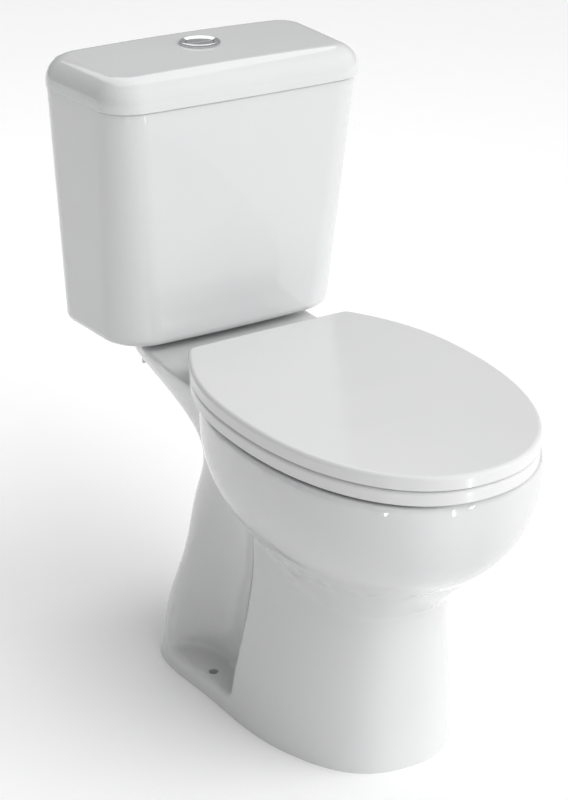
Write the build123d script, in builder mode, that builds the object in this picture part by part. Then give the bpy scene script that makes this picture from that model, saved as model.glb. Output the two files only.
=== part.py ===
"""Close coupled toilet: pan, cistern with dual flush valve and float valve, hinged seat and cover.

Units are millimetres. X runs across, Y from the front (-) to the wall (+), Z up from the floor.
The origin is on the floor, under the middle of the box that holds the whole toilet.
"""
from build123d import *
from math import cos, pi, sin
import os

os.makedirs("parts", exist_ok=True)

# ---------------------------------------------------------------- driving dimensions
PROJECTION = 690.0  # wall to the front of the seat
WALL = PROJECTION / 2  # y of the wall
RIM_Z = 408.0  # glazed top of the rim and of the shelf that carries the cistern
GLAZE_WALL = 12.0  # thickness of the pan's cast walls

RING_BOTTOM = 411.0  # underside of the seat ring, on its buffers
RING_THICK = 17.0
COVER_BOTTOM = 430.0  # lower edge of the cover
COVER_THICK = 16.0  # at the cover's edge
COVER_CROWN = 2.0
COVER_WALL = 5.0
SEAT_BACK = 242.0  # wall to the cover's straight back edge
SEAT_BACK_HALF = 112.0
SEAT_WIDEST = 430.0  # wall to the widest line of the seat
SEAT_HALF = 165.0
HINGE_FROM_WALL = 246.0  # axis that the ring and the cover turn on
HINGE_Z = 421.0
HINGE_PIN_R = 3.0
HINGE_X = 77.5  # hinge bolts at 155 mm centres
HINGE_BOLT_FROM_WALL = 207.0
RUNNING_GAP = 0.05  # radial clearance of a pin that turns in its hole

CISTERN_Z = 416.0
CISTERN_TOP = 723.0
CISTERN_WALL = 9.0
CISTERN_FLOOR = 10.0
LID_Z = 723.4
LID_EDGE = 37.6
LID_CROWN = 2.6
LID_WALL = 8.0

VALVE_FROM_WALL = 84.0  # axis of the flush valve and of the buttons
INLET_X = 141.0  # axis of the fill valve
INLET_FROM_WALL = 52.0
COUPLING_X = 76.0  # the two bolts that hold the cistern to the pan
TAIL_R = 10.48  # half inch pipe thread, major radius
SPIGOT_R = 51.0  # 102 mm outlet spigot, on a slightly thinner neck
SPIGOT_LENGTH = 40.0
SPIGOT_BORE_R = 40.0
SPIGOT_Z = 185.0
SHELF_SEAT_Z = 379.0  # flat seats for the coupling nuts, under the shelf
FIXING_R = 4.5
FIXING_X = 118.0  # floor fixing holes
FIXING_FROM_WALL = 300.0

FLOOR_TOP = CISTERN_Z + CISTERN_FLOOR  # inside floor of the cistern


def y_at(from_wall):
    """y of a point at this distance from the wall."""
    return WALL - from_wall


def ring_points(shape, count=8):
    """Closed run of points round a shape that is mirrored in X, given its right half by angle."""
    right = [shape(-pi / 2 + pi * i / count) for i in range(count + 1)]
    left = [(-x, y) for x, y in reversed(right[1:-1])]
    return right + left


def oval_outline(half, rear, middle, front, rear_power, front_power, flare=0.0):
    """Egg outline from its half width and its places in front of the wall.

    Each end has its own squareness, and `flare` widens the end towards the wall.
    """

    def point(angle):
        towards_front = -sin(angle)
        power = front_power if towards_front > 0 else rear_power
        reach = front - middle if towards_front > 0 else middle - rear
        along = abs(towards_front) ** (2 / power) * (1 if towards_front > 0 else -1)
        across = max(cos(angle), 0.0) ** (2 / power)
        return (half - flare * min(along, 0.0)) * across, y_at(middle + reach * along)

    return ring_points(point)


def seat_outline(inset):
    """Corner points and curve points of the seat's outline, drawn in by `inset`."""
    half = SEAT_HALF - inset
    back_half = SEAT_BACK_HALF - inset
    back = SEAT_BACK + inset
    flank = [
        (half - (half - back_half) * (1 - t) ** 2.3, y_at(back + (SEAT_WIDEST - back) * t))
        for t in (0.0, 0.2, 0.45, 0.72)
    ]
    reach = PROJECTION - inset - SEAT_WIDEST
    power = 2.2
    nose = [
        (half * cos(a) ** (2 / power), y_at(SEAT_WIDEST + reach * sin(a) ** (2 / power)))
        for a in [i * pi / 20 for i in range(10)]
    ]
    right = flank + nose
    return right + [(0.0, y_at(PROJECTION - inset))] + [(-x, y) for x, y in reversed(right)]


def seat_face(inset, corner):
    """Seat outline as a face: a straight back edge and one curve round the front."""
    points = seat_outline(inset)
    with BuildSketch() as face:
        with BuildLine():
            Spline(*points)
            Line(points[-1], points[0])
        make_face()
        fillet(face.vertices().sort_by(Axis.Y)[-2:], corner)
    return face.sketch


def oval_face(*shape):
    """Egg outline as a face with one smooth edge."""
    with BuildSketch() as face:
        with BuildLine():
            Spline(*oval_outline(*shape), periodic=True)
        make_face()
    return face.sketch


def tray_face(width, depth, corner, bow, taper, back_corner, inset=0.0):
    """Cistern outline: flat back on the wall, sides that close a little, rounded bowed front."""
    half_back = width / 2 - inset
    half_front = width / 2 - taper - inset
    back = y_at(inset)
    front = y_at(depth - inset)
    with BuildSketch() as face:
        with BuildLine():
            Polyline((-half_front, front), (-half_back, back), (half_back, back), (half_front, front))
            ThreePointArc((half_front, front), (0, front - bow), (-half_front, front))
        make_face()
        fillet(face.vertices().sort_by(Axis.Y)[-2:], max(back_corner - inset, 3.0))
        fillet(face.vertices().sort_by(Axis.Y)[:2], max(corner - inset, 6.0))
    return face.sketch


def loft_through(levels):
    """Solid through faces at rising heights, given as (height, face) pairs."""
    with BuildPart() as solid:
        for height, face in levels:
            with BuildSketch(Plane.XY.offset(height)):
                add(face)
        loft()
    return solid.part


def tube(places, outer, inner, bottom, top):
    """A disc, or with an inner radius a washer or tube, standing at each of some (x, y) places."""
    with BuildPart() as solid:
        with BuildSketch(Plane.XY.offset(bottom)):
            with Locations(*places):
                Circle(outer)
                if inner:
                    Circle(inner, mode=Mode.SUBTRACT)
        extrude(amount=top - bottom)
    return solid.part


def block(x, y, z):
    """A box between two x, two y and two z values."""
    with BuildPart() as solid:
        with Locations(((x[0] + x[1]) / 2, (y[0] + y[1]) / 2, (z[0] + z[1]) / 2)):
            Box(x[1] - x[0], y[1] - y[0], z[1] - z[0])
    return solid.part


def rod_across(x, y, z, radius):
    """A round rod along X between two x values."""
    with BuildPart() as solid:
        with BuildSketch(Plane.YZ.offset(x[0])):
            with Locations((y, z)):
                Circle(radius)
        extrude(amount=x[1] - x[0])
    return solid.part


def rod_along(x, y, z, radius):
    """A round rod along Y between two y values."""
    with BuildPart() as solid:
        with BuildSketch(Plane.XZ.offset(-y[1])):
            with Locations((x, z)):
                Circle(radius)
        extrude(amount=y[1] - y[0])
    return solid.part


def both_sides(x, y):
    """The same place left and right of the middle."""
    return [(-x, y), (x, y)]


def wing_nuts(places, shank_r, bottom, top):
    """Nuts with a round boss and two wings, at each place."""
    with BuildPart() as nuts:
        add(tube(places, 8.0, 0, bottom, top))
        for x, y in places:
            add(block((x - 16, x + 16), (y - 1.5, y + 1.5), (bottom - 5.0, top - 4.0)))
        add(tube(places, shank_r, 0, bottom - 6.0, top + 1.0), mode=Mode.SUBTRACT)
    return nuts.part


def hex_ring(place, across_flats, inner, bottom, top):
    """A plain hexagon nut."""
    with BuildPart() as nut:
        with BuildSketch(Plane.XY.offset(bottom)):
            with Locations(place):
                RegularPolygon(across_flats / 2, 6, major_radius=False)
                Circle(inner, mode=Mode.SUBTRACT)
        extrude(amount=top - bottom)
    return nut.part


def finish(piece, name):
    """Label a finished piece and write it."""
    piece.part.label = name
    export_step(piece.part, f"parts/{name}.step")


# ================================================================ pan
# One casting of vitreous china: a column on the floor, a deep egg-shaped bowl that bulges over
# it, and a shelf behind for the cistern. The column is hollow, with the bowl and the trap inside.

COLUMN = [  # height, half width, rear, widest, front, extra half width at the rear
    (0.0, 137.0, 152.0, 290.0, 570.0, 12.0),
    (50.0, 134.0, 167.0, 295.0, 567.0, 10.0),
    (120.0, 126.0, 183.0, 305.0, 565.0, 7.0),
    (200.0, 116.0, 202.0, 320.0, 565.0, 3.0),
    (260.0, 112.0, 217.0, 335.0, 566.0, 2.0),
    (305.0, 111.0, 228.0, 345.0, 566.0, 0.0),
    (340.0, 112.0, 194.0, 345.0, 566.0, 0.0),
    (358.0, 114.0, 144.0, 345.0, 566.0, 0.0),
    (373.0, 117.0, 92.0, 345.0, 566.0, 0.0),
    (388.0, 121.0, 44.0, 345.0, 566.0, 0.0),
    (RIM_Z, 125.0, 28.0, 345.0, 566.0, 0.0),
]
COLUMN_HOLLOW = [  # the same column inside its walls, closed under the deck
    (-2.0, 127.0, 167.0, 295.0, 558.0, 12.0),
    (120.0, 114.0, 196.0, 310.0, 553.0, 7.0),
    (260.0, 100.0, 230.0, 335.0, 554.0, 2.0),
    (372.0, 99.0, 226.0, 345.0, 554.0, 0.0),
]
BOWL_HALF, BOWL_REAR, BOWL_MIDDLE, BOWL_FRONT = 165.5, 218.0, 440.0, 683.0
BOWL_TOP, BOWL_DEPTH, BOWL_POWER = 386.0, 172.0, 2.1  # where it is widest, and its profile
BOWL_VOID = [(258.0, 26.0), (290.0, 16.0), (350.0, GLAZE_WALL)]  # height, and inset from the outside
BASIN = [  # height, half width, rear, widest, front of the inside of the bowl
    (60.0, 30.0, 398.0, 430.0, 462.0),
    (92.0, 42.0, 386.0, 430.0, 476.0),
    (140.0, 54.0, 378.0, 434.0, 500.0),
    (200.0, 78.0, 364.0, 440.0, 548.0),
    (260.0, 103.0, 350.0, 448.0, 602.0),
    (320.0, 120.0, 336.0, 455.0, 642.0),
    (366.0, 125.0, 328.0, 460.0, 654.0),
]
THROAT = (112.0, 340.0, 462.0, 642.0)  # opening in the rim: half width, rear, widest, front
SPIGOT_END = 140.0  # wall to the end of the spigot
TRAP = [(445.0, 98.0), (345.0, 98.0), (292.0, 236.0), (215.0, SPIGOT_Z), (SPIGOT_END, SPIGOT_Z)]
TRAP_BENDS = [53.0, 53.0, 60.0]
INLET_RECESS_R, INLET_BORE_R = 36.0, 27.0  # seat for the flush valve's nut, and way in below it
RECESS = [  # scooped side of the column: height, distance from wall, half length, depth
    (24.0, 292.0, 72.0, 44.0),
    (110.0, 306.0, 74.0, 34.0),
    (210.0, 328.0, 68.0, 20.0),
    (290.0, 345.0, 48.0, 4.0),
]


def bowl_level(height, inset):
    """Outline of the outside of the bowl at a height, drawn in by `inset`."""
    drop = max(BOWL_TOP - height, 0.0) / BOWL_DEPTH
    size = (1 - drop**BOWL_POWER) ** (1 / BOWL_POWER)
    rear = BOWL_MIDDLE - (BOWL_MIDDLE - BOWL_REAR) * size + inset
    front = BOWL_MIDDLE + (BOWL_FRONT - BOWL_MIDDLE) * size - inset
    return oval_face(BOWL_HALF * size - inset, rear, BOWL_MIDDLE, front, 2.1, 2.4)


def column_half(height):
    """Half width of the column at a height, read between its levels."""
    for low, high in zip(COLUMN, COLUMN[1:]):
        if height <= high[0]:
            share = (height - low[0]) / (high[0] - low[0])
            return low[1] + (high[1] - low[1]) * share
    return COLUMN[-1][1]


def trap_tube(radius):
    """The passage from the sump, over the weir and out to the spigot."""
    with BuildPart() as solid:
        with BuildLine() as route:
            FilletPolyline(*[(0, y_at(d), z) for d, z in TRAP], radius=TRAP_BENDS)
        with BuildSketch(Plane(origin=route.line @ 0, z_dir=route.line % 0)):
            Circle(radius)
        sweep()
    return solid.part


def side_scoop(side, grow):
    """Material scooped out of one side of the column, or with `grow` the wall behind the scoop too."""
    levels = []
    for height, middle, half_length, depth in RECESS:
        with BuildSketch() as scoop:
            with Locations((side * (column_half(height) + 12.0), y_at(middle))):
                Ellipse(depth + 12.0 + grow, half_length + grow)
        lift = -grow if height == RECESS[0][0] else 0.0
        levels.append((height + lift, scoop.sketch))
    return loft_through(levels)


column_body = loft_through([(h, oval_face(*shape, 4.4, 2.4, flare)) for h, *shape, flare in COLUMN])
bowl_body = loft_through(
    [(h, bowl_level(h, 0.0)) for h in (222.0, 236.0, 256.0, 285.0, 320.0, 355.0, 386.0, RIM_Z)]
)
with BuildPart() as column_hollow:
    add(loft_through([(h, oval_face(*shape, 4.4, 2.4, flare)) for h, *shape, flare in COLUMN_HOLLOW]))
    for side in (-1, 1):
        add(side_scoop(side, GLAZE_WALL), mode=Mode.SUBTRACT)
bowl_void = loft_through([(h, bowl_level(h, inset)) for h, inset in BOWL_VOID])


def basin_body(grow):
    """The inside of the bowl, or with `grow` the outside of its wall."""
    lowest = BASIN[0][0]
    return loft_through(
        [
            (h - (grow if h == lowest else 0), oval_face(a + grow, r - grow, m, f + grow, 2.0, 2.3))
            for h, a, r, m, f in BASIN
        ]
    )


with BuildPart() as pan:
    add(column_body)
    for side in (-1, 1):
        add(side_scoop(side, 0.0), mode=Mode.SUBTRACT)
    add(bowl_body)
    add(column_hollow.part, mode=Mode.SUBTRACT)
    add(bowl_void, mode=Mode.SUBTRACT)
    add(basin_body(GLAZE_WALL))
    add(trap_tube(SPIGOT_R - 1.5))
    spigot = (y_at(SPIGOT_END + SPIGOT_LENGTH), y_at(SPIGOT_END))
    add(rod_along(0, spigot, SPIGOT_Z, SPIGOT_R))
    add(basin_body(0.0), mode=Mode.SUBTRACT)
    add(trap_tube(SPIGOT_BORE_R), mode=Mode.SUBTRACT)
    with BuildSketch(Plane.XY.offset(BASIN[-1][0])):
        add(oval_face(*THROAT, 2.0, 2.3))
    extrude(amount=RIM_Z - BASIN[-1][0] + 2.0, mode=Mode.SUBTRACT)
    inlet = [(0, y_at(VALVE_FROM_WALL))]
    add(tube(inlet, INLET_RECESS_R, 0, RIM_Z - 6.0, RIM_Z + 2.0), mode=Mode.SUBTRACT)
    add(tube(inlet, INLET_BORE_R, 0, RIM_Z - 20.0, RIM_Z), mode=Mode.SUBTRACT)
    add(
        block((-26, 26), (y_at(THROAT[1] + 12.0), y_at(VALVE_FROM_WALL)), (RIM_Z - 20.0, RIM_Z - 9.0)),
        mode=Mode.SUBTRACT,
    )
    bolts = both_sides(COUPLING_X, y_at(VALVE_FROM_WALL))
    add(tube(bolts, 6.0, 0, 360.0, RIM_Z + 2.0), mode=Mode.SUBTRACT)
    add(tube(bolts, 19.0, 0, 360.0, SHELF_SEAT_Z), mode=Mode.SUBTRACT)
    hinges = both_sides(HINGE_X, y_at(HINGE_BOLT_FROM_WALL))
    add(tube(hinges, 7.0, 0, RIM_Z - 30.0, RIM_Z + 2.0), mode=Mode.SUBTRACT)
    fixings = both_sides(FIXING_X, y_at(FIXING_FROM_WALL))
    add(tube(fixings, FIXING_R, 0, -2.0, 60.0), mode=Mode.SUBTRACT)
finish(pan, "pan")

# ================================================================ cistern and lid
# The cistern is an open china tank. The lid is a shallow tray turned over, with a skirt inside.

TRAY_TOP = dict(width=370.0, depth=192.0, corner=46.0, bow=4.0, taper=12.0, back_corner=42.0)
TRAY_BOTTOM = dict(width=340.0, depth=162.0, corner=60.0, bow=6.0, taper=12.0, back_corner=36.0)
LID = dict(width=376.0, depth=195.0, corner=46.0, bow=3.5, taper=12.0, back_corner=46.0)
TANK_EDGE_R = 12.0
BACK_GROUND = 0.2  # taken off the cistern's back so that it stands flat on the wall
LID_LIP_R = 1.6  # rounding of the glazed edges where the lid meets the cistern
WALL_HOLE_X, WALL_HOLE_Z, WALL_HOLE_R = 100.0, 665.0, 4.5
VALVE = (0, y_at(VALVE_FROM_WALL))
INLET = (INLET_X, y_at(INLET_FROM_WALL))
COUPLINGS = both_sides(COUPLING_X, y_at(VALVE_FROM_WALL))

with BuildPart() as cistern:
    for level, size in ((CISTERN_Z, TRAY_BOTTOM), (CISTERN_TOP, TRAY_TOP)):
        with BuildSketch(Plane.XY.offset(level)):
            add(tray_face(**size))
    loft(ruled=True)
    fillet(cistern.faces().sort_by(Axis.Z)[0].edges(), TANK_EDGE_R)
    fillet(cistern.faces().sort_by(Axis.Z)[-1].edges(), LID_LIP_R)
    for level, size in ((FLOOR_TOP, TRAY_BOTTOM), (CISTERN_TOP, TRAY_TOP)):
        with BuildSketch(Plane.XY.offset(level)):
            add(tray_face(**size, inset=CISTERN_WALL))
    loft(ruled=True, mode=Mode.SUBTRACT)
    below = CISTERN_Z - 2.0
    add(tube([VALVE], 25.5, 0, below, FLOOR_TOP + 2.0), mode=Mode.SUBTRACT)
    add(tube(COUPLINGS, 5.5, 0, below, FLOOR_TOP + 2.0), mode=Mode.SUBTRACT)
    add(tube([INLET], 11.5, 0, below, FLOOR_TOP + 2.0), mode=Mode.SUBTRACT)
    for x in (-WALL_HOLE_X, WALL_HOLE_X):
        add(rod_along(x, (WALL - 20.0, WALL + 2.0), WALL_HOLE_Z, WALL_HOLE_R), mode=Mode.SUBTRACT)
    ground_back = (WALL - BACK_GROUND, WALL + 2.0)
    add(block((-200.0, 200.0), ground_back, (below, CISTERN_TOP + 2.0)), mode=Mode.SUBTRACT)
finish(cistern, "cistern")

LID_TOP = LID_Z + LID_EDGE + LID_CROWN
CROWN_R = 4900.0  # radius of the lid's slightly domed top
LID_SHOULDER_R = 31.0
POCKET_TOP = LID_TOP - 9.6
BUTTON_HOLE_R = 20.0

with BuildPart() as lid_hollow:
    with BuildSketch(Plane.XY.offset(LID_Z)):
        add(tray_face(**LID, inset=LID_WALL))
    extrude(amount=POCKET_TOP - LID_Z)
    fillet(lid_hollow.faces().sort_by(Axis.Z)[-1].edges(), LID_SHOULDER_R - LID_WALL)

with BuildPart() as cistern_lid:
    with BuildSketch(Plane.XY.offset(LID_Z)):
        add(tray_face(**LID))
    extrude(amount=LID_EDGE + LID_CROWN)
    with Locations((0, y_at(VALVE_FROM_WALL), LID_TOP - CROWN_R)):
        Sphere(CROWN_R, mode=Mode.INTERSECT)
    fillet(cistern_lid.faces().sort_by(Axis.Z)[-1].edges(), LID_SHOULDER_R)
    fillet(cistern_lid.faces().sort_by(Axis.Z)[0].edges(), LID_LIP_R)
    add(lid_hollow.part, mode=Mode.SUBTRACT)
    with BuildSketch(Plane.XY.offset(LID_Z - 9.0)):
        add(tray_face(**TRAY_TOP, inset=CISTERN_WALL + 2.5))
        add(tray_face(**TRAY_TOP, inset=CISTERN_WALL + 7.5), mode=Mode.SUBTRACT)
    extrude(amount=POCKET_TOP - LID_Z + 10.0)
    add(tube([VALVE], BUTTON_HOLE_R, 0, LID_Z, LID_TOP + 5.0), mode=Mode.SUBTRACT)
finish(cistern_lid, "cistern_lid")

# ================================================================ dual flush button
# A chromed bezel with a threaded sleeve is clamped in the lid by a nut. Two half buttons ride in
# the sleeve on springs, and each pushes its own rod down onto a lever of the flush valve.

SLEEVE_R, SLEEVE_BORE_R = 19.4, 17.4
SLEEVE_BOTTOM = LID_TOP - 30.0
BUTTON_R = 17.0
BUTTON_TOP = LID_TOP + 1.6
BUTTON_BOTTOM = LID_TOP - 16.0
BUTTON_SPLIT = -2.0  # the gap between the halves, in front of the middle
ROD_R = 2.4
ROD_X = 9.5  # rods and levers stand this far from the valve's axis, on opposite sides
ROD_Y = 8.0
LEVER_Z = 676.0
ROD_BOTTOM = LEVER_Z + 3.6
FULL_ROD = (-ROD_X, VALVE[1] + ROD_Y)
HALF_ROD = (ROD_X, VALVE[1] - ROD_Y)

with BuildPart() as button_bezel:
    with BuildSketch(Plane.XZ) as section:
        with BuildLine():
            Polyline(
                (SLEEVE_BORE_R, SLEEVE_BOTTOM),
                (SLEEVE_R, SLEEVE_BOTTOM),
                (SLEEVE_R, LID_TOP + 0.2),
                (25.5, LID_TOP + 0.2),
                (25.5, LID_TOP + 1.4),
            )
            ThreePointArc((25.5, LID_TOP + 1.4), (24.0, LID_TOP + 3.2), (22.0, LID_TOP + 3.6))
            Line((22.0, LID_TOP + 3.6), (SLEEVE_BORE_R, LID_TOP + 1.4))
            Line((SLEEVE_BORE_R, LID_TOP + 1.4), (SLEEVE_BORE_R, SLEEVE_BOTTOM))
        make_face()
    revolve(axis=Axis.Z)
    add(tube([(0, 0)], SLEEVE_BORE_R + 0.5, 0, SLEEVE_BOTTOM, SLEEVE_BOTTOM + 3.0))
    rods = [(FULL_ROD[0], ROD_Y), (HALF_ROD[0], -ROD_Y)]
    add(tube(rods, ROD_R + 0.6, 0, SLEEVE_BOTTOM - 1.0, SLEEVE_BOTTOM + 4.0), mode=Mode.SUBTRACT)
button_bezel.part = Pos(*VALVE, 0) * button_bezel.part
finish(button_bezel, "button_bezel")

with BuildPart() as button_nut:
    add(tube([VALVE], 25.0, SLEEVE_R + 0.1, POCKET_TOP - 9.0, POCKET_TOP - 0.2))
    for turn in range(6):
        angle = turn * pi / 3
        ear = (VALVE[0] + 25.0 * cos(angle), VALVE[1] + 25.0 * sin(angle))
        add(tube([ear], 3.0, 0, POCKET_TOP - 9.0, POCKET_TOP - 0.2))
finish(button_nut, "button_nut")


def half_button(front):
    """One half of the divided button, with its slightly domed top."""
    with BuildPart() as half:
        add(tube([VALVE], BUTTON_R, 0, BUTTON_BOTTOM, BUTTON_TOP))
        fillet(half.faces().sort_by(Axis.Z)[-1].edges(), 1.0)
        split_y = VALVE[1] + BUTTON_SPLIT
        far = 30.0
        if front:
            add(block((-far, far), (split_y - 0.4, split_y + far * 2), (BUTTON_BOTTOM, LID_TOP + 9)),
                mode=Mode.SUBTRACT)
        else:
            add(block((-far, far), (split_y - far, split_y + 0.4), (BUTTON_BOTTOM, LID_TOP + 9)),
                mode=Mode.SUBTRACT)
    return half.part


for name, front in (("full_flush_button", False), ("half_flush_button", True)):
    with BuildPart() as button:
        add(half_button(front))
        fillet(button.faces().sort_by(Axis.Z)[-1].edges(), 0.5)
    finish(button, name)

for name, place in (("full_flush_rod", FULL_ROD), ("half_flush_rod", HALF_ROD)):
    with BuildPart() as rod:
        add(tube([place], ROD_R, 0, ROD_BOTTOM, BUTTON_BOTTOM))
        chamfer(rod.faces().sort_by(Axis.Z)[0].edges(), 4.0, 1.6)
    finish(rod, name)

SPRING_R, SPRING_WIRE_R, SPRING_TURNS = 4.0, 0.45, 4
SPRING_SEAT = SLEEVE_BOTTOM + 3.0

for name, place in (("full_button_spring", FULL_ROD), ("half_button_spring", HALF_ROD)):
    height = BUTTON_BOTTOM - SPRING_SEAT - 2 * SPRING_WIRE_R - 0.1
    with BuildPart() as spring:
        with BuildLine() as coil:
            Helix(height / SPRING_TURNS, height, SPRING_R)
        with BuildSketch(Plane(origin=coil.line @ 0, z_dir=coil.line % 0)):
            Circle(SPRING_WIRE_R)
        sweep(is_frenet=True)
    spring.part = Pos(*place, SPRING_SEAT + SPRING_WIRE_R + 0.05) * spring.part
    finish(spring, name)

# ================================================================ flush valve
# A tower over the outlet: a threaded base with the valve seat, a housing on four legs, and a
# core (overflow tube and rubber seal) that the full flush lever lifts by its hook.

SEAT_Z = FLOOR_TOP + 14.0
HOUSING_BOTTOM, HOUSING_TOP = 472.0, 646.0
HOUSING_R = 33.0
OVERFLOW_R = 12.0
LEVER_ARM = 20.0  # pivot to the lifted end; the pushed end is half as long
LEVER_HALF_WIDTH = 2.5
PIN_R = 1.5

with BuildPart() as flush_valve_base:
    add(tube([VALVE], 24.0, 20.0, RIM_Z - 16.0, FLOOR_TOP + 3.0))
    add(tube([VALVE], 36.0, 20.0, FLOOR_TOP + 3.0, FLOOR_TOP + 7.0))
    add(tube([VALVE], 27.0, 22.0, FLOOR_TOP + 7.0, SEAT_Z))
    legs = [(32.0 * cos(pi / 4 + k * pi / 2), VALVE[1] + 32.0 * sin(pi / 4 + k * pi / 2)) for k in range(4)]
    add(tube(legs, 3.0, 0, FLOOR_TOP + 6.0, HOUSING_BOTTOM))
finish(flush_valve_base, "flush_valve_base")

with BuildPart() as flush_valve_washer:
    add(tube([VALVE], 35.5, 24.2, FLOOR_TOP, FLOOR_TOP + 3.0))
finish(flush_valve_washer, "flush_valve_washer")

with BuildPart() as flush_valve_nut:
    add(hex_ring(VALVE, 60.0, 24.05, RIM_Z - 4.0, CISTERN_Z))
finish(flush_valve_nut, "flush_valve_nut")

with BuildPart() as doughnut_washer:
    add(tube([VALVE], 55.0, 38.0, RIM_Z, CISTERN_Z))
    fillet(doughnut_washer.edges().filter_by(GeomType.CIRCLE).sort_by(SortBy.RADIUS)[-2:], 2.0)
finish(doughnut_washer, "doughnut_washer")

with BuildPart() as flush_valve_housing:
    add(tube([VALVE], HOUSING_R + 3.0, HOUSING_R, HOUSING_BOTTOM, HOUSING_BOTTOM + 8.0))
    add(tube([VALVE], HOUSING_R + 1.0, HOUSING_R - 2.0, HOUSING_BOTTOM, HOUSING_TOP))
    add(tube([VALVE], HOUSING_R + 1.0, OVERFLOW_R + 1.0, HOUSING_TOP - 4.0, HOUSING_TOP))
    for x, y in ((HOUSING_R, 0), (0, HOUSING_R), (-HOUSING_R, 0), (0, -HOUSING_R)):
        window = [(x - 10, x + 10), (VALVE[1] + y - 10, VALVE[1] + y + 10), (525.0, 595.0)]
        add(block(*window), mode=Mode.SUBTRACT)
    for side in (-1, 1):
        y = VALVE[1] + side * 17.0
        add(block((-7, 7), (y - 1.5, y + 1.5), (HOUSING_TOP - 4.0, LEVER_Z + 7.0)))
    add(rod_along(0, (VALVE[1] - 30, VALVE[1] + 30), LEVER_Z, PIN_R), mode=Mode.SUBTRACT)
finish(flush_valve_housing, "flush_valve_housing")

with BuildPart() as lever_pin:
    add(rod_along(0, (VALVE[1] - 19.5, VALVE[1] + 19.5), LEVER_Z, PIN_R))
finish(lever_pin, "lever_pin")


def flush_lever(side):
    """A lever on the cross pin: short arm under its rod, long arm towards the other side."""
    y = VALVE[1] + side * ROD_Y
    with BuildPart() as lever:
        ends = sorted((-side * (ROD_X + 4.0), side * (LEVER_ARM + 3.0)))
        width = (y - LEVER_HALF_WIDTH, y + LEVER_HALF_WIDTH)
        add(block(ends, width, (LEVER_Z - 3.0, LEVER_Z + 3.0)))
        add(rod_along(0, width, LEVER_Z, 4.5))
        add(rod_along(0, (y - 5, y + 5), LEVER_Z, PIN_R + RUNNING_GAP), mode=Mode.SUBTRACT)
        fillet(lever.edges().filter_by(Axis.Y).group_by(Axis.X)[0], 1.5)
        fillet(lever.edges().filter_by(Axis.Y).group_by(Axis.X)[-1], 1.5)
    return lever


finish(flush_lever(1), "full_flush_lever")
finish(flush_lever(-1), "half_flush_lever")

HOOK_X = LEVER_ARM + 8.0
HOOK_Y = VALVE[1] + ROD_Y

with BuildPart() as overflow_tube:
    add(tube([VALVE], OVERFLOW_R, OVERFLOW_R - 2.0, SEAT_Z + 0.4, HOUSING_TOP + 8.0))
    add(tube([VALVE], 20.0, OVERFLOW_R - 1.0, SEAT_Z + 5.0, SEAT_Z + 8.0))
    hook_floor = (HOUSING_TOP + 2.0, HOUSING_TOP + 5.0)
    add(tube([VALVE], OVERFLOW_R + 1.8, OVERFLOW_R - 1.0, *hook_floor))
    add(block((9, HOOK_X + 1.5), (HOOK_Y - 2.5, HOOK_Y + 2.5), hook_floor))
    hook_side = (HOUSING_TOP + 2.0, LEVER_Z + 8.0)
    add(block((HOOK_X - 1.5, HOOK_X + 1.5), (HOOK_Y - 2.5, HOOK_Y + 2.5), hook_side))
    hook_top = (LEVER_Z + 4.5, LEVER_Z + 8.0)
    add(block((LEVER_ARM - 3.0, HOOK_X + 1.5), (HOOK_Y - 2.5, HOOK_Y + 2.5), hook_top))
    add(tube([VALVE], OVERFLOW_R - 2.0, 0, HOUSING_TOP, HOUSING_TOP + 20.0), mode=Mode.SUBTRACT)
finish(overflow_tube, "overflow_tube")

with BuildPart() as flush_seal:
    add(tube([VALVE], 27.5, OVERFLOW_R, SEAT_Z + 0.4, SEAT_Z + 5.0))
    fillet(flush_seal.edges().filter_by(GeomType.CIRCLE).sort_by(SortBy.RADIUS)[-2:], 1.0)
finish(flush_seal, "flush_seal")

# ================================================================ fill valve
# A bottom entry float valve: threaded tail through the cistern's floor, a riser with the valve
# head on top, and a float on a rod whose collars work the head's pivoted arm.

HEAD_BOTTOM, HEAD_TOP = 648.0, 672.0
ARM_Z = 664.0
ARM_PIVOT_X = INLET_X - 20.0
ARM_REACH = 30.0
FLOAT_X = ARM_PIVOT_X - ARM_REACH
FLOAT_BOTTOM, FLOAT_HEIGHT = 520.0, 64.0
FLOAT_ROD_R = 2.0

with BuildPart() as fill_valve_body:
    add(tube([INLET], TAIL_R, 0, CISTERN_Z - 40.0, CISTERN_Z - 11.0))
    add(tube([INLET], TAIL_R - 0.8, 0, CISTERN_Z - 11.0, CISTERN_Z - 8.0))
    add(tube([INLET], TAIL_R, 0, CISTERN_Z - 8.0, FLOOR_TOP + 2.5))
    add(tube([INLET], 15.5, 0, FLOOR_TOP + 2.5, FLOOR_TOP + 7.0))
    add(tube([INLET], 8.0, 0, FLOOR_TOP + 7.0, HEAD_BOTTOM))
    add(tube([INLET], 14.0, 0, HEAD_BOTTOM, HEAD_TOP))
    for side in (-1, 1):
        y = INLET[1] + side * 8.0
        add(block((ARM_PIVOT_X - 5.0, INLET_X), (y - 1.5, y + 1.5), (ARM_Z - 6.0, ARM_Z + 6.0)))
    add(rod_along(ARM_PIVOT_X, (INLET[1] - 20, INLET[1] + 20), ARM_Z, PIN_R), mode=Mode.SUBTRACT)
    add(tube([INLET], 5.0, 0, CISTERN_Z - 41.0, HEAD_BOTTOM + 6.0), mode=Mode.SUBTRACT)
finish(fill_valve_body, "fill_valve_body")

with BuildPart() as fill_valve_cap:
    add(tube([INLET], 15.0, 0, HEAD_TOP, HEAD_TOP + 8.0))
    fillet(fill_valve_cap.faces().sort_by(Axis.Z)[-1].edges(), 3.0)
finish(fill_valve_cap, "fill_valve_cap")

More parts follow.
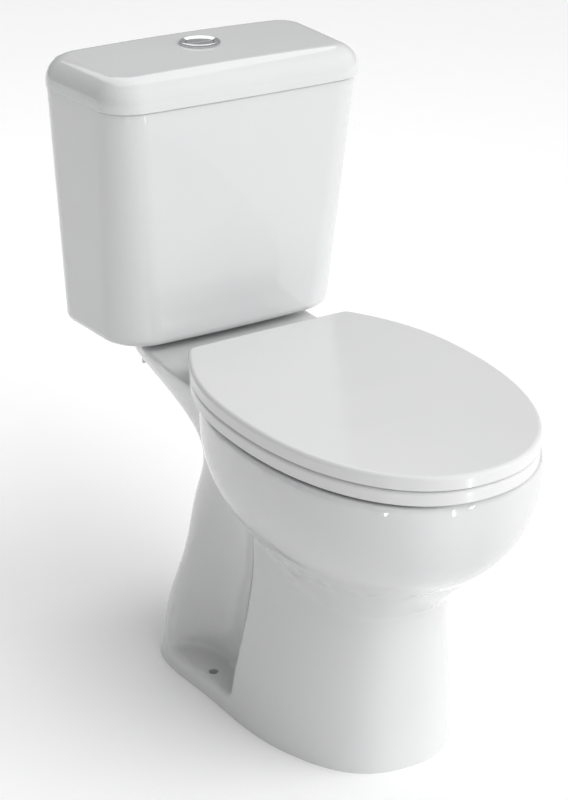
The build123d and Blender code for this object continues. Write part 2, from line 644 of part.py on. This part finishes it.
with BuildPart() as fill_valve_washer:
    add(tube([INLET], 15.0, TAIL_R + 0.1, FLOOR_TOP, FLOOR_TOP + 2.5))
finish(fill_valve_washer, "fill_valve_washer")

with BuildPart() as fill_valve_nut:
    add(hex_ring(INLET, 30.0, TAIL_R + 0.05, CISTERN_Z - 9.0, CISTERN_Z))
finish(fill_valve_nut, "fill_valve_nut")

with BuildPart() as arm_pin:
    add(rod_along(ARM_PIVOT_X, (INLET[1] - 9.5, INLET[1] + 9.5), ARM_Z, PIN_R))
finish(arm_pin, "arm_pin")

with BuildPart() as float_arm:
    width = (INLET[1] - 5.0, INLET[1] + 5.0)
    add(block((FLOAT_X - 9.0, ARM_PIVOT_X), width, (ARM_Z - 2.0, ARM_Z + 2.0)))
    add(rod_along(ARM_PIVOT_X, width, ARM_Z, 4.0))
    add(rod_along(ARM_PIVOT_X, (INLET[1] - 8, INLET[1] + 8), ARM_Z, PIN_R + RUNNING_GAP), mode=Mode.SUBTRACT)
    add(
        block((FLOAT_X - 7.0, FLOAT_X + 4.0), (INLET[1] - 2.8, INLET[1] + 2.8), (ARM_Z - 5, ARM_Z + 5)),
        mode=Mode.SUBTRACT,
    )
finish(float_arm, "float_arm")

with BuildPart() as float_rod:
    rod_place = [(FLOAT_X, INLET[1])]
    add(tube(rod_place, FLOAT_ROD_R, 0, FLOAT_BOTTOM + FLOAT_HEIGHT, ARM_Z + 14.0))
    add(tube(rod_place, 4.0, 0, ARM_Z - 8.0, ARM_Z - 4.8))
    add(tube(rod_place, 4.0, 0, ARM_Z + 4.6, ARM_Z + 7.6))
finish(float_rod, "float_rod")

with BuildPart() as float_cup:
    with BuildSketch(Plane.XY.offset(FLOAT_BOTTOM)):
        with Locations((FLOAT_X, INLET[1] - 4.0)):
            RectangleRounded(44.0, 60.0, 10.0)
    extrude(amount=FLOAT_HEIGHT)
    fillet(float_cup.faces().sort_by(Axis.Z)[-1].edges(), 4.0)
    with BuildSketch(Plane.XY.offset(FLOAT_BOTTOM)):
        with Locations((FLOAT_X, INLET[1] - 4.0)):
            RectangleRounded(40.0, 56.0, 8.0)
    extrude(amount=FLOAT_HEIGHT - 4.0, mode=Mode.SUBTRACT)
finish(float_cup, "float_cup")

# ================================================================ cistern couplings
# Two bolts through the cistern's floor and the pan's shelf, sealed inside by rubber washers.

with BuildPart() as coupling_bolts:
    add(tube(COUPLINGS, 4.0, 0, SHELF_SEAT_Z - 20.0, FLOOR_TOP + 7.0))
    add(tube(COUPLINGS, 9.0, 0, FLOOR_TOP + 7.0, FLOOR_TOP + 11.0))
    fillet(coupling_bolts.faces().group_by(Axis.Z)[-1].edges(), 2.0)
finish(coupling_bolts, "coupling_bolts")

with BuildPart() as coupling_seals:
    add(tube(COUPLINGS, 13.5, 4.1, FLOOR_TOP, FLOOR_TOP + 5.0))
finish(coupling_seals, "coupling_seals")

with BuildPart() as coupling_washers:
    add(tube(COUPLINGS, 12.0, 4.1, FLOOR_TOP + 5.0, FLOOR_TOP + 7.0))
    add(tube(COUPLINGS, 12.0, 4.1, SHELF_SEAT_Z - 2.0, SHELF_SEAT_Z))
finish(coupling_washers, "coupling_washers")

with BuildPart() as coupling_wing_nuts:
    add(wing_nuts(COUPLINGS, 4.05, SHELF_SEAT_Z - 13.0, SHELF_SEAT_Z - 2.0))
finish(coupling_wing_nuts, "coupling_wing_nuts")

# ================================================================ seat
# Ring and cover turn on two steel pins. Each pin is held by a post whose foot is bolted down
# into an expanding plug in the pan's deck.

HINGES = both_sides(HINGE_X, y_at(HINGE_BOLT_FROM_WALL))
HINGE_Y = y_at(HINGE_FROM_WALL)
POST_HALF, LUG_THICK, LUG_GAP = 7.0, 6.0, 0.6
NOTCH_HALF = POST_HALF + LUG_THICK + 2 * LUG_GAP
PIN_HALF = NOTCH_HALF + 9.0
POST_R = 7.0
RING_HOLE = (104.0, 336.0, 462.0, 634.0)

with BuildPart() as seat_ring:
    with BuildSketch(Plane.XY.offset(RING_BOTTOM)):
        add(seat_face(0.8, 14.0))
    extrude(amount=RING_THICK)
    fillet(seat_ring.faces().sort_by(Axis.Z)[-1].edges(), 5.0)
    fillet(seat_ring.faces().sort_by(Axis.Z)[0].edges(), 2.0)
    with BuildSketch(Plane.XY.offset(RING_BOTTOM)):
        add(oval_face(*RING_HOLE, 2.0, 2.3))
    extrude(amount=RING_THICK, mode=Mode.SUBTRACT)
    for x in (-HINGE_X, HINGE_X):
        add(
            block((x - NOTCH_HALF, x + NOTCH_HALF), (HINGE_Y - 12.0, HINGE_Y + 30.0),
                  (RING_BOTTOM - 1.0, COVER_BOTTOM)),
            mode=Mode.SUBTRACT,
        )
        add(
            rod_across((x - PIN_HALF - 0.5, x + PIN_HALF + 0.5), HINGE_Y, HINGE_Z,
                       HINGE_PIN_R + RUNNING_GAP),
            mode=Mode.SUBTRACT,
        )
finish(seat_ring, "seat_ring")

with BuildPart() as seat_cover:
    with BuildSketch(Plane.XY.offset(COVER_BOTTOM)):
        add(seat_face(0.0, 12.0))
    extrude(amount=COVER_THICK + COVER_CROWN)
    crown_r = 9000.0
    with Locations((0, y_at(455.0), COVER_BOTTOM + COVER_THICK + COVER_CROWN - crown_r)):
        Sphere(crown_r, mode=Mode.INTERSECT)
    fillet(seat_cover.faces().sort_by(Axis.Z)[-1].edges(), 5.0)
    with BuildSketch(Plane.XY.offset(COVER_BOTTOM)):
        add(seat_face(COVER_WALL, 8.0))
    extrude(amount=COVER_THICK - COVER_WALL, mode=Mode.SUBTRACT)
    for x in (-HINGE_X, HINGE_X):
        for side in (-1, 1):
            inner = x + side * (POST_HALF + LUG_GAP)
            outer = inner + side * LUG_THICK
            lug = sorted((inner, outer))
            add(rod_across(lug, HINGE_Y, HINGE_Z, 7.0))
            add(block(lug, (HINGE_Y - 7.0, HINGE_Y + 4.0), (HINGE_Z, COVER_BOTTOM + COVER_THICK - 4.0)))
            add(rod_across((lug[0] - 1, lug[1] + 1), HINGE_Y, HINGE_Z, HINGE_PIN_R + RUNNING_GAP),
                mode=Mode.SUBTRACT)
finish(seat_cover, "seat_cover")

with BuildPart() as hinge_posts:
    for x, y in HINGES:
        width = (x - POST_HALF, x + POST_HALF)
        add(tube([(x, y)], 10.5, 0, RIM_Z, RIM_Z + 6.0))
        add(block(width, (HINGE_Y - 4.0, y), (RIM_Z + 0.2, RIM_Z + 6.0)))
        add(rod_across(width, HINGE_Y, HINGE_Z, POST_R))
        add(block(width, (HINGE_Y - POST_R + 1.0, HINGE_Y + POST_R - 1.0), (RIM_Z + 0.2, HINGE_Z)))
        add(rod_across((x - 20, x + 20), HINGE_Y, HINGE_Z, HINGE_PIN_R), mode=Mode.SUBTRACT)
    add(tube(HINGES, 3.0, 0, RIM_Z - 1.0, RIM_Z + 8.0), mode=Mode.SUBTRACT)
finish(hinge_posts, "hinge_posts")

with BuildPart() as hinge_pins:
    for x, _ in HINGES:
        add(rod_across((x - PIN_HALF, x + PIN_HALF), HINGE_Y, HINGE_Z, HINGE_PIN_R))
finish(hinge_pins, "hinge_pins")

with BuildPart() as hinge_bolts:
    add(tube(HINGES, 3.0, 0, RIM_Z - 24.0, RIM_Z + 6.0))
    add(tube(HINGES, 6.5, 0, RIM_Z + 6.0, RIM_Z + 9.5))
    fillet(hinge_bolts.faces().group_by(Axis.Z)[-1].edges(), 1.5)
finish(hinge_bolts, "hinge_bolts")

with BuildPart() as hinge_plugs:
    add(tube(HINGES, 6.95, 3.0, RIM_Z - 28.0, RIM_Z))
finish(hinge_plugs, "hinge_plugs")

with BuildPart() as ring_buffers:
    feet = both_sides(138.0, y_at(400.0)) + both_sides(104.0, y_at(592.0))
    add(tube(feet, 8.0, 0, RIM_Z + 0.3, RING_BOTTOM))
finish(ring_buffers, "ring_buffers")

with BuildPart() as cover_buffers:
    pads = both_sides(132.0, y_at(400.0)) + both_sides(92.0, y_at(598.0))
    add(tube(pads, 6.0, 0, RING_BOTTOM + RING_THICK + 0.3, COVER_BOTTOM + COVER_THICK - COVER_WALL))
finish(cover_buffers, "cover_buffers")
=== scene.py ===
import math

import bpy
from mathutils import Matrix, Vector


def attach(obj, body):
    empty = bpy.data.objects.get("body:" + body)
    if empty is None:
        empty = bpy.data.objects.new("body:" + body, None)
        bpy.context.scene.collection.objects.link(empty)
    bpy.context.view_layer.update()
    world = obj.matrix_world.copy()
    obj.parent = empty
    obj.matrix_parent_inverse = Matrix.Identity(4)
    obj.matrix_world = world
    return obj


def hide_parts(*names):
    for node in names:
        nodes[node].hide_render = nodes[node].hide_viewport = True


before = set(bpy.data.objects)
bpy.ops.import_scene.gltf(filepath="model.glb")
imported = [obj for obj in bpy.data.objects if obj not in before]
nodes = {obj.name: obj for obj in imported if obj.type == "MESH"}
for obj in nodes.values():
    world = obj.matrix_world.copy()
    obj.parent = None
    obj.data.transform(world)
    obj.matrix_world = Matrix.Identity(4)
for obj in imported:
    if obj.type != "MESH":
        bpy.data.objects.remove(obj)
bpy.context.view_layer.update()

# ---------------------------------------------------------------- camera, light and floor
# A long lens from the front left, looking down on the seat. The light is a white studio: a broad
# key light high in front on the right, and small soft boxes that draw the highlights.

CAMERA_TARGET = Vector((-0.0297, 0.025, 0.3925))
CAMERA_DISTANCE = 2.3283
CAMERA_AZIMUTH = math.radians(-31.8745)
CAMERA_ELEVATION = math.radians(24.7439)
LENS = 87.9
SENSOR_WIDTH = 36.0
SHIFT = (0.0029, -0.0059)
NEAREST = 0.05

camera_back = Vector((
    math.sin(CAMERA_AZIMUTH) * math.cos(CAMERA_ELEVATION),
    -math.cos(CAMERA_AZIMUTH) * math.cos(CAMERA_ELEVATION),
    math.sin(CAMERA_ELEVATION),
))
bpy.ops.object.camera_add(location=CAMERA_TARGET + camera_back * CAMERA_DISTANCE)
camera = bpy.context.object
camera.name = "camera"
camera.rotation_euler = (-camera_back).to_track_quat("-Z", "Y").to_euler()
camera.data.lens = LENS
camera.data.sensor_width = SENSOR_WIDTH
camera.data.shift_x, camera.data.shift_y = SHIFT
camera.data.clip_start = NEAREST
bpy.context.scene.camera = camera


def area_light(name, place, aim, width, height, power):
    """A white soft box at a place, turned to face another place."""
    bpy.ops.object.light_add(type="AREA", location=place)
    light = bpy.context.object
    light.name = name
    light.rotation_euler = (Vector(aim) - Vector(place)).to_track_quat("-Z", "Y").to_euler()
    light.data.shape = "RECTANGLE"
    light.data.size = width
    light.data.size_y = height
    light.data.energy = power
    return light


TOP_BOX_SIZE = 2.2
TOP_BOX_POWER = 16.0
area_light("top_box", (0.4, 1.2, 2.6), (0.0, 0.0, 0.5), TOP_BOX_SIZE, TOP_BOX_SIZE, TOP_BOX_POWER)

# The strips only draw highlights, so they are aimed at the lid's front left corner.
STRIP_AIM = (-0.14, 0.155, 0.745)
STRIP_WIDTH = 0.035
STRIP_HEIGHT = 0.3
STRIP_POWER = 0.6
for name, place in (("left_strip", (-0.93, -0.93, 0.14)), ("front_strip", (0.22, -1.17, 0.14))):
    strip = area_light(name, place, STRIP_AIM, STRIP_WIDTH, STRIP_HEIGHT, STRIP_POWER)
    strip.visible_diffuse = False

SUN_FROM = Vector((1.5, -2.7, 2.3))
SUN_STRENGTH = 3.1
SUN_SPREAD = math.radians(75.0)
bpy.ops.object.light_add(type="SUN", location=SUN_FROM)
key_light = bpy.context.object
key_light.name = "key_light"
key_light.rotation_euler = (-SUN_FROM).to_track_quat("-Z", "Y").to_euler()
key_light.data.energy = SUN_STRENGTH
key_light.data.angle = SUN_SPREAD
key_light.visible_glossy = False

ROOM_STRENGTH = 0.36
world = bpy.context.scene.world or bpy.data.worlds.new("studio")
bpy.context.scene.world = world
world.use_nodes = True
background = world.node_tree.nodes["Background"]
background.inputs["Color"].default_value = (1.0, 1.0, 1.0, 1.0)
background.inputs["Strength"].default_value = ROOM_STRENGTH
bpy.context.scene.view_settings.view_transform = "Standard"

bpy.ops.mesh.primitive_plane_add(size=30.0, location=(0.0, 0.0, 0.0))
floor = bpy.context.object
floor.name = "floor"

# ---------------------------------------------------------------- surface effects
# Small unevenness that the materials share. Every group takes a point on the object and gives a
# tone between 0 and 1, and all but the specks also bend the surface.


def effect_group(name, settings):
    """A node group with a point and some numbers as inputs, and a tone and a normal as outputs."""
    group = bpy.data.node_groups.new(name, "ShaderNodeTree")
    group.interface.new_socket("Point", in_out="INPUT", socket_type="NodeSocketVector")
    for setting, value in settings.items():
        socket = group.interface.new_socket(setting, in_out="INPUT", socket_type="NodeSocketFloat")
        socket.default_value = value
    group.interface.new_socket("Tone", in_out="OUTPUT", socket_type="NodeSocketFloat")
    group.interface.new_socket("Normal", in_out="OUTPUT", socket_type="NodeSocketVector")
    return group, group.nodes.new("NodeGroupInput"), group.nodes.new("NodeGroupOutput")


def noise_node(group, point, scale, detail):
    """A noise texture read at a point of the object."""
    node = group.nodes.new("ShaderNodeTexNoise")
    node.inputs["Scale"].default_value = scale
    node.inputs["Detail"].default_value = detail
    group.links.new(point, node.inputs["Vector"])
    return node.outputs["Fac"]


def math_node(group, operation, first, second):
    """A sum, product or other combination of two values."""
    node = group.nodes.new("ShaderNodeMath")
    node.operation = operation
    for socket, value in zip(node.inputs, (first, second)):
        if isinstance(value, float):
            socket.default_value = value
        else:
            group.links.new(value, socket)
    return node.outputs[0]


def bump_node(group, height, strength, distance):
    """A normal bent by a height, with the strength read from a group input."""
    node = group.nodes.new("ShaderNodeBump")
    node.inputs["Distance"].default_value = distance
    group.links.new(height, node.inputs["Height"])
    group.links.new(strength, node.inputs["Strength"])
    return node.outputs["Normal"]


# Fired glaze: a slow waviness from how it flowed, with fine orange peel on top.
glaze_flow, enter, leave = effect_group("glaze flow", {"Strength": 0.3})
wave = noise_node(glaze_flow, enter.outputs["Point"], 9.0, 1.0)
peel = noise_node(glaze_flow, enter.outputs["Point"], 160.0, 2.0)
height = math_node(glaze_flow, "ADD", wave, math_node(glaze_flow, "MULTIPLY", peel, 0.02))
bent = bump_node(glaze_flow, height, enter.outputs["Strength"], 0.004)
glaze_flow.links.new(bent, leave.inputs["Normal"])
glaze_flow.links.new(wave, leave.inputs["Tone"])

# Rare iron specks under a glaze.
glaze_specks, enter, leave = effect_group("glaze specks", {"Size": 0.045})
cells = glaze_specks.nodes.new("ShaderNodeTexVoronoi")
cells.inputs["Scale"].default_value = 70.0
glaze_specks.links.new(enter.outputs["Point"], cells.inputs["Vector"])
speck = math_node(glaze_specks, "LESS_THAN", cells.outputs["Distance"], enter.outputs["Size"])
glaze_specks.links.new(speck, leave.inputs["Tone"])

# Moulded plastic: faint grain with a broad, slow sink between ribs.
moulded_grain, enter, leave = effect_group("moulded grain", {"Strength": 0.15, "Scale": 900.0})
grain = moulded_grain.nodes.new("ShaderNodeTexNoise")
moulded_grain.links.new(enter.outputs["Point"], grain.inputs["Vector"])
moulded_grain.links.new(enter.outputs["Scale"], grain.inputs["Scale"])
sink = noise_node(moulded_grain, enter.outputs["Point"], 14.0, 1.0)
deep_sink = math_node(moulded_grain, "MULTIPLY", sink, 4.0)
height = math_node(moulded_grain, "ADD", grain.outputs["Fac"], deep_sink)
bent = bump_node(moulded_grain, height, enter.outputs["Strength"], 0.0006)
moulded_grain.links.new(bent, leave.inputs["Normal"])
moulded_grain.links.new(sink, leave.inputs["Tone"])

# Metal: fine lines across the piece and a cloudy tone from handling.
metal_lines, enter, leave = effect_group("metal lines", {"Strength": 0.1, "Stretch": 60.0})
squeeze = metal_lines.nodes.new("ShaderNodeCombineXYZ")
squeeze.inputs["X"].default_value = 1.0
squeeze.inputs["Y"].default_value = 1.0
metal_lines.links.new(enter.outputs["Stretch"], squeeze.inputs["Z"])
stretched = metal_lines.nodes.new("ShaderNodeVectorMath")
stretched.operation = "MULTIPLY"
metal_lines.links.new(enter.outputs["Point"], stretched.inputs[0])
metal_lines.links.new(squeeze.outputs["Vector"], stretched.inputs[1])
lines = noise_node(metal_lines, stretched.outputs["Vector"], 60.0, 3.0)
cloud = noise_node(metal_lines, enter.outputs["Point"], 120.0, 3.0)
bent = bump_node(metal_lines, lines, enter.outputs["Strength"], 0.0003)
metal_lines.links.new(bent, leave.inputs["Normal"])
metal_lines.links.new(cloud, leave.inputs["Tone"])


class Finish:
    """A material with one Principled surface, whose colour and roughness follow effect tones."""

    def __init__(self, name, roughness, metallic=0.0, coat=0.0):
        self.material = bpy.data.materials.new(name)
        self.material.use_nodes = True
        self.tree = self.material.node_tree
        self.surface = self.tree.nodes["Principled BSDF"]
        self.surface.inputs["Roughness"].default_value = roughness
        self.surface.inputs["Metallic"].default_value = metallic
        self.surface.inputs["Coat Weight"].default_value = coat
        self.surface.inputs["Coat Roughness"].default_value = 0.04
        self.point = self.tree.nodes.new("ShaderNodeTexCoord").outputs["Object"]

    def effect(self, group, **settings):
        """Adds an effect group at the object's own coordinates."""
        node = self.tree.nodes.new("ShaderNodeGroup")
        node.node_tree = group
        self.tree.links.new(self.point, node.inputs["Point"])
        for setting, value in settings.items():
            node.inputs[setting].default_value = value
        return node

    def blend(self, tone, first, second):
        """Colour between two colours by a tone."""
        node = self.tree.nodes.new("ShaderNodeMix")
        node.data_type = "RGBA"
        self.tree.links.new(tone, node.inputs["Factor"])
        for socket, colour in ((node.inputs["A"], first), (node.inputs["B"], second)):
            if isinstance(colour, tuple):
                socket.default_value = (*colour, 1.0)
            else:
                self.tree.links.new(colour, socket)
        return node.outputs["Result"]

    def between(self, tone, low, high):
        """Value between two values by a tone."""
        node = self.tree.nodes.new("ShaderNodeMapRange")
        self.tree.links.new(tone, node.inputs["Value"])
        node.inputs["To Min"].default_value = low
        node.inputs["To Max"].default_value = high
        return node.outputs["Result"]

    def set(self, **sockets):
        """Joins outputs to inputs of the Principled surface."""
        for name, output in sockets.items():
            self.tree.links.new(output, self.surface.inputs[name.replace("_", " ")])


def wear(material, *pieces):
    """Gives pieces one material."""
    for piece in pieces:
        piece.data.materials.clear()
        piece.data.materials.append(material)


# ---------------------------------------------------------------- floor
# A pale, matt studio floor with a barely visible mottle.

matt = Finish("studio_floor", 0.75)
mottle = matt.effect(moulded_grain, Strength=0.02, Scale=60.0)
matt.set(Base_Color=matt.blend(mottle.outputs["Tone"], (0.96, 0.96, 0.96), (0.98, 0.98, 0.98)))
wear(matt.material, floor)

# ---------------------------------------------------------------- pan
# One hollow casting of vitreous china under a thick white glaze, which runs into every crease
# and rounds every edge. It stands on the floor, held by a screw through the ledge on each side.

PAN_GRID = 0.004
PAN_EASE = 14
PAN_CREASE = math.radians(50)
FOOT_SKIN = 0.0005
FOOT_SPARE = 0.02
WELD = 0.00001
FIXING_HOLES = ((-0.118, 0.045), (0.118, 0.045))
FIXING_HOLE_R = 0.006
FIXING_HOLE_SIDES = 48
DRILL_LENGTH = 0.08
DRILL_MIDDLE = 0.03


def select_only(piece):
    """Makes one piece the only selected and the active one."""
    bpy.ops.object.select_all(action="DESELECT")
    piece.select_set(True)
    bpy.context.view_layer.objects.active = piece


def copy_of(node, name, body):
    """A piece with the same shape as a CAD node, its doubled corners joined, riding on a body."""
    select_only(nodes[node])
    bpy.ops.object.duplicate()
    piece = bpy.context.object
    piece.name = name
    bpy.ops.object.mode_set(mode="EDIT")
    bpy.ops.mesh.select_all(action="SELECT")
    bpy.ops.mesh.remove_doubles(threshold=WELD)
    bpy.ops.mesh.normals_make_consistent(inside=False)
    bpy.ops.object.mode_set(mode="OBJECT")
    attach(piece, body)
    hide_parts(node)
    return piece


def modify(piece, kind, **settings):
    """Adds a modifier with some settings and applies it."""
    select_only(piece)
    bpy.ops.object.modifier_add(type=kind)
    modifier = piece.modifiers[-1]
    for setting, value in settings.items():
        setattr(modifier, setting, value)
    bpy.ops.object.modifier_apply(modifier=modifier.name)


pan = copy_of("pan", "pan_glazed", "toilet")

# Easing rounds every edge, so the foot is drawn down first and then cut off flat on the floor.
bpy.ops.object.mode_set(mode="EDIT")
bpy.ops.mesh.select_all(action="DESELECT")
bpy.ops.object.mode_set(mode="OBJECT")
for vertex in pan.data.vertices:
    vertex.select = vertex.co.z < FOOT_SKIN
bpy.ops.object.mode_set(mode="EDIT")
bpy.ops.transform.translate(value=(0.0, 0.0, -FOOT_SPARE))
bpy.ops.object.mode_set(mode="OBJECT")
modify(pan, "REMESH", mode="VOXEL", voxel_size=PAN_GRID, adaptivity=0.0)
modify(pan, "SMOOTH", factor=0.5, iterations=PAN_EASE)
bpy.ops.object.mode_set(mode="EDIT")
bpy.ops.mesh.select_all(action="SELECT")
bpy.ops.mesh.bisect(
    plane_co=(0.0, 0.0, 0.0),
    plane_no=(0.0, 0.0, 1.0),
    use_fill=True,
    clear_inner=True,
)
bpy.ops.object.mode_set(mode="OBJECT")

# The fixing holes are drilled after the easing, so they stay round.
for x, y in FIXING_HOLES:
    bpy.ops.mesh.primitive_cylinder_add(
        vertices=FIXING_HOLE_SIDES,
        radius=FIXING_HOLE_R,
        depth=DRILL_LENGTH,
        location=(x, y, DRILL_MIDDLE),
    )
    drill = bpy.context.object
    modify(pan, "BOOLEAN", object=drill, operation="DIFFERENCE")
    bpy.data.objects.remove(drill)
select_only(pan)
bpy.ops.object.shade_smooth_by_angle(angle=PAN_CREASE)

glaze = Finish("glaze_white", 0.09, coat=0.6)
flow = glaze.effect(glaze_flow, Strength=0.12)
specks = glaze.effect(glaze_specks, Size=0.03)
body_tone = glaze.blend(flow.outputs["Tone"], (0.60, 0.605, 0.61), (0.63, 0.635, 0.635))
glaze.set(
    Base_Color=glaze.blend(specks.outputs["Tone"], body_tone, (0.54, 0.53, 0.5)),
    Roughness=glaze.between(flow.outputs["Tone"], 0.06, 0.13),
    Normal=flow.outputs["Normal"],
)
glaze.surface.inputs["Subsurface Weight"].default_value = 0.04
glaze.surface.inputs["Subsurface Scale"].default_value = 0.002
wear(glaze.material, pan)

# ---------------------------------------------------------------- cistern and lid
# A vitreous china tank bolted down onto the pan's shelf, and a loose china lid with a skirt that
# drops inside the tank.

wear(glaze.material, nodes["cistern"], nodes["cistern_lid"])

# ---------------------------------------------------------------- seat
# Ring and cover are moulded from white thermoset and polished, softer in gloss than the glaze.
# They turn on steel pins held by two plastic posts, which are bolted down into the pan's deck.

thermoset = Finish("seat_white", 0.2, coat=0.25)
grain = thermoset.effect(moulded_grain, Strength=0.05, Scale=1200.0)
thermoset.set(
    Base_Color=thermoset.blend(grain.outputs["Tone"], (0.66, 0.665, 0.665), (0.68, 0.68, 0.68)),
    Roughness=thermoset.between(grain.outputs["Tone"], 0.17, 0.25),
    Normal=grain.outputs["Normal"],
)
wear(thermoset.material, nodes["seat_ring"], nodes["seat_cover"])

hinge_plastic = Finish("hinge_white", 0.32)
grain = hinge_plastic.effect(moulded_grain, Strength=0.12, Scale=700.0)
hinge_plastic.set(
    Base_Color=hinge_plastic.blend(grain.outputs["Tone"], (0.76, 0.765, 0.76), (0.8, 0.8, 0.795)),
    Normal=grain.outputs["Normal"],
)
wear(hinge_plastic.material, nodes["hinge_posts"], nodes["hinge_bolts"])

buffer_rubber = Finish("buffer_pale", 0.6)
grain = buffer_rubber.effect(moulded_grain, Strength=0.3, Scale=500.0)
buffer_rubber.set(
    Base_Color=buffer_rubber.blend(grain.outputs["Tone"], (0.66, 0.66, 0.64), (0.72, 0.72, 0.7)),
    Normal=grain.outputs["Normal"],
)
wear(buffer_rubber.material, nodes["ring_buffers"], nodes["cover_buffers"])

# ---------------------------------------------------------------- dual flush button
# Chrome plated plastic: a dished bezel clamped through the lid by a nut, and two half buttons
# on stainless springs.

chrome = Finish("chrome_plate", 0.08, metallic=1.0)
lines = chrome.effect(metal_lines, Strength=0.03, Stretch=4.0)
chrome.set(
    Base_Color=chrome.blend(lines.outputs["Tone"], (0.74, 0.75, 0.76), (0.82, 0.83, 0.84)),
    Roughness=chrome.between(lines.outputs["Tone"], 0.05, 0.14),
    Normal=lines.outputs["Normal"],
)
wear(chrome.material, nodes["button_bezel"], nodes["full_flush_button"], nodes["half_flush_button"])

spring_steel = Finish("spring_wire", 0.25, metallic=1.0)
lines = spring_steel.effect(metal_lines, Strength=0.15, Stretch=20.0)
spring_steel.set(
    Base_Color=spring_steel.blend(lines.outputs["Tone"], (0.5, 0.5, 0.49), (0.62, 0.62, 0.61)),
    Normal=lines.outputs["Normal"],
)
wear(spring_steel.material, nodes["full_button_spring"], nodes["half_button_spring"])

# ---------------------------------------------------------------- valves and couplings
# Inside the cistern: white acetal valve bodies with blue moving parts, black rubber seals, zinc
# plated bolts and pins. Rubber and nuts show in the gap between the cistern and the pan.

acetal = Finish("acetal_white", 0.42)
grain = acetal.effect(moulded_grain, Strength=0.2, Scale=600.0)
acetal.set(
    Base_Color=acetal.blend(grain.outputs["Tone"], (0.7, 0.71, 0.69), (0.76, 0.765, 0.75)),
    Roughness=acetal.between(grain.outputs["Tone"], 0.36, 0.5),
    Normal=grain.outputs["Normal"],
)
wear(
    acetal.material,
    *(nodes[name] for name in (
        "button_nut", "full_flush_rod", "half_flush_rod", "flush_valve_base", "flush_valve_nut",
        "flush_valve_housing", "fill_valve_body", "fill_valve_nut", "float_arm", "float_rod",
        "coupling_wing_nuts",
    )),
)

blue_plastic = Finish("moulded_blue", 0.38)
grain = blue_plastic.effect(moulded_grain, Strength=0.2, Scale=600.0)
blue_plastic.set(
    Base_Color=blue_plastic.blend(grain.outputs["Tone"], (0.03, 0.13, 0.34), (0.05, 0.18, 0.42)),
    Roughness=blue_plastic.between(grain.outputs["Tone"], 0.32, 0.46),
    Normal=grain.outputs["Normal"],
)
wear(
    blue_plastic.material,
    *(nodes[name] for name in (
        "full_flush_lever", "half_flush_lever", "overflow_tube", "fill_valve_cap", "float_cup",
    )),
)

black_rubber = Finish("rubber_black", 0.7)
grain = black_rubber.effect(moulded_grain, Strength=0.4, Scale=450.0)
black_rubber.set(
    Base_Color=black_rubber.blend(grain.outputs["Tone"], (0.012, 0.012, 0.012), (0.03, 0.03, 0.03)),
    Roughness=black_rubber.between(grain.outputs["Tone"], 0.6, 0.85),
    Normal=grain.outputs["Normal"],
)
wear(
    black_rubber.material,
    *(nodes[name] for name in (
        "flush_valve_washer", "doughnut_washer", "flush_seal", "fill_valve_washer",
        "coupling_seals", "hinge_plugs",
    )),
)

zinc_steel = Finish("zinc_steel", 0.3, metallic=1.0)
lines = zinc_steel.effect(metal_lines, Strength=0.12, Stretch=12.0)
zinc_steel.set(
    Base_Color=zinc_steel.blend(lines.outputs["Tone"], (0.5, 0.5, 0.49), (0.64, 0.64, 0.62)),
    Roughness=zinc_steel.between(lines.outputs["Tone"], 0.24, 0.42),
    Normal=lines.outputs["Normal"],
)
wear(
    zinc_steel.material,
    *(nodes[name] for name in (
        "lever_pin", "arm_pin", "coupling_bolts", "coupling_washers", "hinge_pins",
    )),
)
